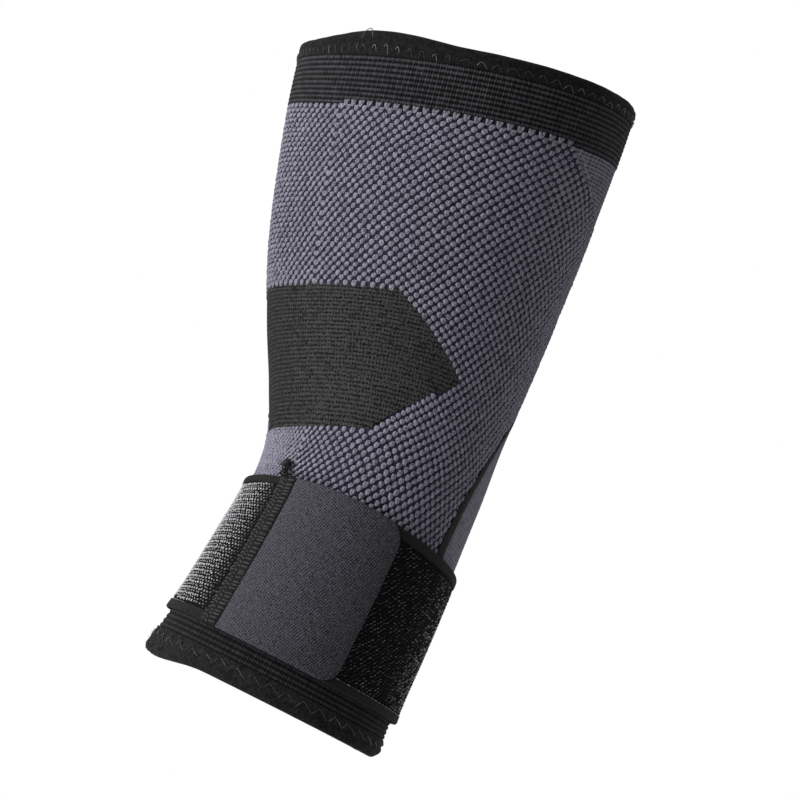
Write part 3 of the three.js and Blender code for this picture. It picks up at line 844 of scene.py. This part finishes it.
# Forearm strap: elastic webbing right round the lower part of the sleeve, with a face of small nylon
# loops in rows and a bound, stitched edge above and below.
STRAP_LOW = STRAP_HIGH - STRAP_WIDTH
STRAP_INSIDE, STRAP_FACE, BINDING_FACE = 0.3, 1.6, 2.1
BINDING_HIGH, BINDING_LOW = 2.7, 3.4
STRAP_DRAWN_UP, DRAWN_AT, DRAWN_REACH = 1.6, math.radians(-15), math.radians(38)
web_low, web_high = STRAP_LOW + BINDING_LOW + 0.1, STRAP_HIGH - BINDING_HIGH - 0.1


def strap_rise(angle, along):
    """How far the strap is drawn up at the front, most at its upper edge."""
    near = np.exp(-(turned(angle, DRAWN_AT) / DRAWN_REACH) ** 2)
    return STRAP_DRAWN_UP * near * ramp(along, STRAP_LOW, STRAP_HIGH)


forearm_strap = ring("strap_webbing", 200, up(web_low, web_high, 24, STRAP_FACE),
                     up(web_high, web_low, 8, STRAP_INSIDE), rise=strap_rise)
WEBBING_BLACK, WEBBING_GREY = (0.0012, 0.0012, 0.0012, 1), (0.0042, 0.0042, 0.0042, 1)
webbing, shader, start = finish("strap_webbing", 0.95, 0.006, 0.05)
lay(shader, start.noise(700, 2).blend(WEBBING_BLACK, WEBBING_GREY), start.noise(1500, 2), 0.0002)
dress(forearm_strap, webbing, "forearm_strap")

SEAM_LEFT, SEAM_RIGHT, TAB_RIGHT = (math.radians(a) for a in (-41.5, -32.8, 25.5))
LOOP_STEP, LOOPS_ROUND, LOOP_SLOPE, LOOP_CLEAR = 1.0, 162, 2.0, 0.4
LOOP_ROWS = int((web_high - web_low) / LOOP_STEP) + 10
chance = np.random.default_rng(21)
loop_row, loop_column = field(np.arange(LOOP_ROWS), LOOPS_ROUND)
count = len(loop_row)
loop_angle = 2 * math.pi / LOOPS_ROUND * (loop_column + 0.5 * (loop_row % 2)) - math.pi
loop_angle += chance.normal(0, 0.004, count)
loop_along = (web_low + LOOP_STEP * (loop_row + 0.5) + chance.normal(0, 0.10, count)
              + LOOP_SLOPE * np.maximum(loop_angle - SEAM_LEFT, -1.2) * (loop_angle < 0))
shown = (loop_angle < SEAM_LEFT + 0.02) | (loop_angle > TAB_RIGHT - 0.06)
shown &= (loop_along > web_low + LOOP_CLEAR) & (loop_along < web_high - LOOP_CLEAR)
loop_row, loop_angle, loop_along = loop_row[shown], loop_angle[shown], loop_along[shown]
loop_along = loop_along + strap_rise(loop_angle, loop_along)
count = len(loop_row)
bpy.ops.object.select_all(action="DESELECT")
bpy.ops.mesh.primitive_cone_add(vertices=4, radius1=1, radius2=0.5, depth=1, rotation=(0, 0, math.pi / 4))
loop = bpy.context.object
bpy.ops.object.transform_apply(location=True, rotation=True, scale=True)
# The loops on the inner side stand up in rows and are given light tones, a painted glint of the key light. The
# others lie slantwise and are dull, some of them painted lighter towards the outer side as a painted sheen
LOOP_FOOT, LOOP_LIE, LOOP_HALF_LONG = STRAP_FACE + 0.1, 0.82, 0.28
place, outward = laid(loop_along, loop_angle, LOOP_FOOT)
outward = unit(outward)
round_way = unit(on_sleeve(loop_along, loop_angle + 0.01, LOOP_FOOT) - place)
up_way = np.cross(outward, round_way)
standing_and_painted_glint = ramp(loop_angle, SEAM_LEFT - 0.06, SEAM_LEFT - 0.28) * ramp(loop_angle, -2.6, -1.9)
lying = (1 - standing_and_painted_glint)[:, None]
slant = chance.normal(0.25, 0.2, (count, 1)) - 0.9 * lying
tall = (0.22 + standing_and_painted_glint * (0.24 + 0.3 * (loop_row % 2)))[:, None] * chance.uniform(0.85, 1.15, (count, 1))
wide = (LOOP_HALF_LONG + 0.32 * lying) * chance.uniform(0.8, 1.2, (count, 1))
high = chance.uniform(0.35, 0.55, (count, 1))
strap_loops = copies("strap_loops", loop, place, (round_way + LOOP_LIE * lying * up_way) * MM * wide,
                     (up_way + slant * round_way) * MM * tall, outward * MM * high)
bpy.data.objects.remove(loop)
# Painted highlight: the standing loops get light tones, lighter in every other row, as a painted glint; some
# lying loops towards the outer side get a painted sheen. The rest of the tones are random
painted_glint = chance.uniform(0.8, 1.6, count) * np.where(loop_row % 2 == 1, 1.0, 0.62)
strewn = chance.uniform(0, 1, count)
outer_painted_sheen = ramp(loop_angle, math.radians(58), math.radians(76))
outer_painted_sheen *= ramp(loop_angle, math.radians(150), math.radians(150) - 1.1)
dull = 0.02 + 0.25 * strewn ** 2 + outer_painted_sheen * np.maximum(strewn - 0.4, 0) * 1.1
tones(strap_loops, standing_and_painted_glint * painted_glint + (1 - standing_and_painted_glint) * dull)
LOOP_BLACK, LOOP_LIGHT = (0.0012, 0.0012, 0.0012, 1), (0.30, 0.30, 0.31, 1)
nylon_loops, shader, start = finish("nylon_loops", 0.5, 0.0, 0.03)
lay(shader, start.kept("tone").blend(LOOP_BLACK, LOOP_LIGHT))
dress(strap_loops, nylon_loops)


def roll(low, high, inside, outside, bend):
    """Rows up the face of a band of cloth, its edges rounded, and down its lining."""
    turn = np.linspace(0, math.pi / 2, 5)
    face = [(outside - bend + bend * math.sin(t), low + bend - bend * math.cos(t)) for t in turn]
    face += up(low + bend, high - bend, 8, outside)[1:-1]
    face += [(outside - bend + bend * math.cos(t), high - bend + bend * math.sin(t)) for t in turn]
    return face, up(high, low, 4, inside)


TAPE_BLACK, TAPE_PIT, TAPE_BEND = (0.0092, 0.0092, 0.0096, 1), (0.0018, 0.0018, 0.0018, 1), 0.8
binding_tape, shader, start = finish("binding_tape", 0.9, 0.02, 0.1)
cord, fibre = start.cloth(0).wave(0.55), start.noise(1400, 2)
lay(shader, ((fibre - 0.5) * 2 + cord * 0.3 + 0.3).clamp().blend(TAPE_BLACK, TAPE_PIT), cord + fibre, 0.00015)
for side, low, wide in (("upper", STRAP_HIGH - BINDING_HIGH, BINDING_HIGH), ("lower", STRAP_LOW, BINDING_LOW)):
    section = roll(low, low + wide, STRAP_INSIDE, BINDING_FACE, TAPE_BEND)
    piece = ring(side + "_binding", 240, *section, rise=strap_rise)
    dress(piece, binding_tape, "strap_binding_" + side)
DASH_PITCH, DASH_HALF, STRAP_RADIUS = 2.2 / 41, 0.021, 40
dash_angle = np.arange(math.radians(24), math.radians(300), DASH_PITCH)
t = np.linspace(-1, 1, 5)
paths, outward = laid(np.full((len(dash_angle), len(t)), STRAP_LOW + BINDING_LOW - 0.35),
                      dash_angle[:, None] + DASH_HALF * t, BINDING_FACE - 0.25 + 0.28 * (1 - t ** 2))
edge_stitches = threads("edge_stitches", paths, outward, THREAD_RADIUS, 4)
tones(edge_stitches, chance.uniform(0.3, 0.9, len(dash_angle)))
dress(edge_stitches, hem_thread)

# Hook tab: smooth charcoal twill with hooks on its back, sewn to the strap's end along a stitched band
# and pressed down on the loops. Its free end has round corners.
TAB_INSIDE, TAB_FACE, SEAM_FACE = 2.4, 3.6, 4.0
TAB_CORNER = 6.0


def tab_right(along):
    """Angle of the tab's free edge at a height: it draws in round both corners."""
    into = np.clip(TAB_CORNER - np.minimum(along - STRAP_LOW, STRAP_HIGH - along), 0, TAB_CORNER)
    return TAB_RIGHT - angle_of(TAB_CORNER - np.sqrt(TAB_CORNER ** 2 - into ** 2), along)


def tab_edges(v):
    """The tab's rows lie closer at its corners."""
    along = STRAP_LOW + STRAP_WIDTH * (v - 0.14 * np.sin(2 * math.pi * v))
    return along, np.full_like(along, SEAM_RIGHT + 0.005), tab_right(along)


def tab_relief(angle, along):
    """The tab's face falls away at its edges."""
    edge = np.minimum((tab_right(along) - angle) * STRAP_RADIUS,
                      np.minimum(along - STRAP_LOW, STRAP_HIGH - along))
    return 0.5 * ramp(edge, 0.9, 0) ** 2


hook_tab = plate("charcoal_tab", 80, 80, tab_edges, TAB_FACE, TAB_INSIDE, tab_relief, strap_rise)
charcoal_twill, shader, start = finish("charcoal_twill", 0.9, 0.03, 0.1)
tab_across, tab_along = start.cloth(0), start.cloth(1)
twill = (tab_across * 0.43 + tab_along).wave(0.76) * 0.6 + (tab_across - tab_along * 0.45).wave(0.84) * 0.4
# Painted shade: the twill is painted darker and less violet towards its free end, away from the key light
nap_and_painted_shade = (tab_across / 40 + 0.5).clamp()
grain = start.noise(2400, 2)
TWILL_LIGHT, TWILL_DARK = (0.0480, 0.0468, 0.0580, 1), (0.0052, 0.0052, 0.0055, 1)
low = (twill * 1.15 + (grain - 0.5) * 3.6 + nap_and_painted_shade * 0.42 - 0.30).clamp()
lay(shader, low.blend(TWILL_LIGHT, TWILL_DARK), 1 - twill, 0.0002)
dress(hook_tab, charcoal_twill, "hook_tab")


def seam_edges(v):
    """The band is as high as the strap."""
    along = STRAP_LOW + STRAP_WIDTH * v
    return along, np.full_like(along, SEAM_LEFT), np.full_like(along, SEAM_RIGHT)


def seam_relief(angle, along):
    """The band's face falls away at its edges."""
    aside = np.minimum(angle - SEAM_LEFT, SEAM_RIGHT - angle) * STRAP_RADIUS
    edge = np.minimum(aside, np.minimum(along - STRAP_LOW, STRAP_HIGH - along))
    return 0.6 * ramp(edge, 1, 0) ** 2


tab_seam = plate("stitched_band", 24, 60, seam_edges, SEAM_FACE - 0.2, TAB_INSIDE, seam_relief, strap_rise)
BAND_GREY, BAND_DARK = (0.0400, 0.0400, 0.0428, 1), (0.0040, 0.0040, 0.0042, 1)
band_thread, shader, start = finish("band_thread", 0.95, 0.02, 0.08)
twist, fibre = start.noise(500, 2), start.noise(1600, 2)
low = ((twist - 0.5) * 1.4 + (fibre - 0.5) * 1.6 + 0.2).clamp()
lay(shader, low.blend(BAND_GREY, BAND_DARK), fibre, 0.0003)
dress(tab_seam, binding_tape, "tab_seam")
SEAM_BARS, BAR_RADIUS = 40, 0.29
chance = np.random.default_rng(5)
bar_along = STRAP_LOW + 1 + (STRAP_WIDTH - 2.4) * np.arange(SEAM_BARS) / (SEAM_BARS - 1)
t = np.linspace(0, 1, 5)
seam_wide = SEAM_RIGHT - SEAM_LEFT
bars = [(bar_along[:, None] + chance.normal(0, 0.14, (SEAM_BARS, 1)) + rise * t,
         SEAM_LEFT + seam_wide * (left + chance.normal(0, 0.02, (SEAM_BARS, 1)) + (right - left) * t))
        for left, right, rise in ((0.05, 0.27, 0.5), (0.27, 0.49, -0.3), (0.55, 0.97, 0.2))]
bar_along, bar_angle = (np.concatenate(b) for b in zip(*bars))
paths, outward = laid(bar_along + strap_rise(bar_angle, bar_along), bar_angle,
                      SEAM_FACE - 0.42 + 0.30 * np.sin(math.pi * t))
seam_bars = threads("seam_bars", paths, outward, BAR_RADIUS)
dress(seam_bars, band_thread)

# Thread knot: the end of the band's sewing thread, knotted by hand and left as a fuzzy tangle above the
# strap, with one loose tail.
KNOT_ALONG, KNOT_ANGLE, KNOT_OUT = -48.2, math.radians(-45.2), 1.4
KNOT_LOOPS, KNOT_HIGH, KNOT_RADIUS, TAIL_RADIUS = 11, 5.2, 0.27, 0.16
chance = np.random.default_rng(12)
knot = on_sleeve(KNOT_ALONG, KNOT_ANGLE, KNOT_OUT)
t = np.linspace(0, 2 * math.pi, 15)
paths = []
for turn in range(KNOT_LOOPS):
    first, second = chance.normal(0, 1, (2, 3))
    first = unit(first)
    second = unit(np.cross(first, second))
    down = turn / KNOT_LOOPS
    middle = on_sleeve(KNOT_ALONG + 1.2 - KNOT_HIGH * down, KNOT_ANGLE + 0.06 * down, KNOT_OUT + 1.6 * down)
    middle = middle + MM * chance.normal(0, 0.35, 3)
    size = MM * chance.uniform(0.75, 1.4)
    paths.append(middle + size * (np.cos(t)[:, None] * first + np.sin(t)[:, None] * second * 0.8))
paths = np.array(paths)
inward = np.repeat(paths.mean(1, keepdims=True), len(t), 1) - paths + 1e-5
knot_loops = threads("knot_loops", paths, inward, KNOT_RADIUS)
t = np.linspace(0, 1, 12)
paths, outward = laid((KNOT_ALONG - 3.0 * t - 1.0 * np.sin(math.pi * t))[None],
                      (KNOT_ANGLE + math.radians(12) * t)[None], (KNOT_OUT + 2.6 * t ** 2)[None])
knot_tail = threads("knot_tail", paths, outward, TAIL_RADIUS)
tones(knot_tail, np.array([0.2]))
FUZZ, FUZZ_RADIUS = 70, 0.06
way = unit(chance.normal(0, 1, (FUZZ, 3)))
t = np.linspace(0, 1, 4)[None, :, None]
root = knot + MM * chance.normal(0, 0.7, (FUZZ, 1, 3))
size = MM * chance.uniform(0.8, 1.9, (FUZZ, 1, 1))
paths = root + size * (way[:, None] * t + chance.normal(0, 0.4, (FUZZ, 1, 3)) * t ** 2)
knot_fuzz = threads("knot_fuzz", paths, np.repeat(np.cross(way, ASKEW)[:, None], 4, 1), FUZZ_RADIUS, 3)
KNOT_BLACK, KNOT_GREY = (0.0015, 0.0015, 0.0015, 1), (0.0330, 0.0330, 0.0345, 1)
knot_thread, shader, start = finish("knot_thread", 0.95, 0.02, 0.08)
lay(shader, start.noise(900, 2).blend(KNOT_BLACK, KNOT_GREY))
knot_pieces = [knot_loops, knot_tail, knot_fuzz]
for piece in knot_pieces:
    dress(piece, hem_thread if piece is knot_tail else knot_thread)

# Studio: a pale floor well below the sleeve, which hangs free as it is worn, a white room that is
# darker on the near side, a large soft light at the left, and a camera below looking up.
FLOOR_HEIGHT, FLOOR_PALE = -0.4, (0.82, 0.82, 0.82, 1)
bpy.ops.object.select_all(action="DESELECT")
bpy.ops.mesh.primitive_plane_add(size=8, location=(0, 0, FLOOR_HEIGHT))
floor = bpy.context.object
floor.name = "floor"
pale_floor, shader, _ = finish("pale_floor", 0.9)
shader.inputs["Base Color"].default_value = FLOOR_PALE
floor.data.materials.append(pale_floor)

world = bpy.data.worlds.new("studio")
bpy.context.scene.world = world
world.use_nodes = True
room = Shade(world.node_tree)
way = room.node("ShaderNodeTexCoord", output="Generated")
near_side = (0.5 - way.node("ShaderNodeSeparateXYZ", sockets={0: way}, output=1) * 1.6).clamp()
ROOM_WHITE, ROOM_GREY = (1.0, 1.0, 1.0, 1), (0.27, 0.27, 0.27, 1)
wall = near_side.blend(ROOM_WHITE, ROOM_GREY)
world.node_tree.links.new(wall.socket, world.node_tree.nodes["Background"].inputs["Color"])

for name, place, size, power in (("key_light", (-1.3, -0.75, 0.35), 0.9, 44),
                                 ("fill_light", (0.5, -1.6, 0.9), 1.2, 4)):
    bpy.ops.object.light_add(type="AREA", location=place)
    lamp = bpy.context.object
    lamp.name = name
    lamp.data.size = size
    lamp.data.energy = power
    spot = np.array(place) / np.linalg.norm(place)
    lamp.rotation_euler = (math.acos(spot[2]), 0, math.atan2(spot[1], spot[0]) + math.pi / 2)

CAMERA_DISTANCE, CAMERA_UP, CAMERA_ROLL = 1.28, math.radians(8), math.radians(12.75)
VIEW_ACROSS, VIEW_SHIFT, SENSOR = 0.268, -0.025, 36
bpy.ops.object.camera_add()
camera = bpy.context.object
forward = np.array([0, math.cos(CAMERA_UP), math.sin(CAMERA_UP)])
level, upright = np.array([1, 0, 0]), np.array([0, -math.sin(CAMERA_UP), math.cos(CAMERA_UP)])
right = math.cos(CAMERA_ROLL) * level + math.sin(CAMERA_ROLL) * upright
top = math.cos(CAMERA_ROLL) * upright - math.sin(CAMERA_ROLL) * level
pose = np.eye(4)
pose[:3] = np.stack([right, top, -forward, -CAMERA_DISTANCE * forward], -1)
camera.matrix_world = Matrix(pose)
camera.data.sensor_width = SENSOR
camera.data.lens = SENSOR * CAMERA_DISTANCE / VIEW_ACROSS
camera.data.shift_y = VIEW_SHIFT
camera.data.clip_end = 100
bpy.context.scene.camera = camera
bpy.context.scene.view_settings.view_transform = "Standard"
